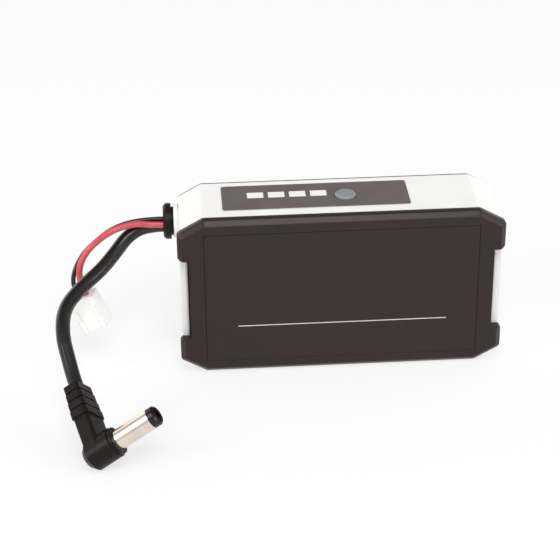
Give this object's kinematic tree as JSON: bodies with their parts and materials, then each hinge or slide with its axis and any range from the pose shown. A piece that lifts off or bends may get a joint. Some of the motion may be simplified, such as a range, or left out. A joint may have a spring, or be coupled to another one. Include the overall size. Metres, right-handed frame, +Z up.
{
  "type": "battery case",
  "caption": "Battery case for 18650 cells with pull-off cover, charge indicator, push button and a short lead ending in a right-angle DC plug.",
  "frame": {"origin": "centre of the case's long narrow base, where it stands on the floor", "axes": "+X along the case away from the lead, +Y from the front cover to the back, +Z up"},
  "size_m": [0.1223, 0.073, 0.0472],
  "materials": {
    "white_abs": "smooth white ABS, slight sheen",
    "black_abs": "fine-textured black ABS",
    "label_film": "matt black polyester film",
    "panel_grey": "satin dark-grey printed panel",
    "light_bar": "milky light-guide plastic",
    "button_grey": "satin blue-grey plastic",
    "board": "green solder mask over glass-epoxy",
    "led": "clear LED epoxy on white carrier",
    "switch_black": "moulded switch housing",
    "steel_zinc": "zinc-plated steel",
    "cell_can": "nickel-plated can, matt",
    "cell_sleeve": "shrunk PVC sleeve",
    "cell_ring": "insulating card ring",
    "contact_nickel": "nickel-plated contact strip",
    "spring_steel": "nickel-plated spring wire",
    "rubber_black": "soft moulded PVC rubber",
    "cable_black": "flexible PVC jacket",
    "wire_red": "silicone-like red PVC insulation",
    "wire_black": "black PVC insulation",
    "plug_nickel": "nickel-plated turned brass",
    "plug_insulator": "black nylon insulator",
    "connector_white": "natural white nylon"
  },
  "bodies": {
    "housing": {"body_shell": "white_abs", "indicator_panel": "panel_grey", "light_guide": "light_bar", "switch_body": "switch_black", "indicator_board": "board", "led_1": "led", "led_2": "led", "led_3": "led", "led_4": "led", "board_screw_left": "steel_zinc", "board_screw_right": "steel_zinc", "negative_plate": "contact_nickel", "positive_plate": "contact_nickel", "link_plate": "contact_nickel", "upper_spring": "spring_steel", "lower_spring": "spring_steel", "cable_grommet": "rubber_black", "power_cable": "cable_black", "red_wire": "wire_red", "black_wire": "wire_black", "plug_body": "rubber_black", "plug_barrel": "plug_nickel", "plug_insulator": "plug_insulator", "plug_sleeve": "plug_nickel", "aux_connector": "connector_white", "aux_contact_red": "contact_nickel", "aux_contact_black": "contact_nickel"},
    "cover": {"front_cover": "black_abs", "front_label": "label_film"},
    "button": {"power_button": "button_grey", "switch_plunger": "switch_black"},
    "upper_cell": {"upper_cell_can": "cell_can", "upper_cell_sleeve": "cell_sleeve", "upper_cell_ring": "cell_ring", "upper_cell_cap": "cell_can"},
    "lower_cell": {"lower_cell_can": "cell_can", "lower_cell_sleeve": "cell_sleeve", "lower_cell_ring": "cell_ring", "lower_cell_cap": "cell_can"}
  },
  "joints": [
    {"name": "cover_pull", "type": "slide", "parent": "housing", "child": "cover", "axis": [0, -1, 0], "range_m": [0, 0.03]},
    {"name": "button_press", "type": "slide", "parent": "housing", "child": "button", "axis": [0, 0, -1], "range_m": [0, 0.0004], "stiffness_N_per_m": 1500, "springref_m": -0.0005},
    {"name": "upper_cell_push", "type": "slide", "parent": "housing", "child": "upper_cell", "axis": [-1, 0, 0], "range_m": [0, 0.0012], "stiffness_N_per_m": 1500, "springref_m": -0.002, "deforming": ["upper_spring"]},
    {"name": "lower_cell_push", "type": "slide", "parent": "housing", "child": "lower_cell", "axis": [1, 0, 0], "range_m": [0, 0.0012], "stiffness_N_per_m": 1500, "springref_m": -0.002, "deforming": ["lower_spring"]}
  ]
}
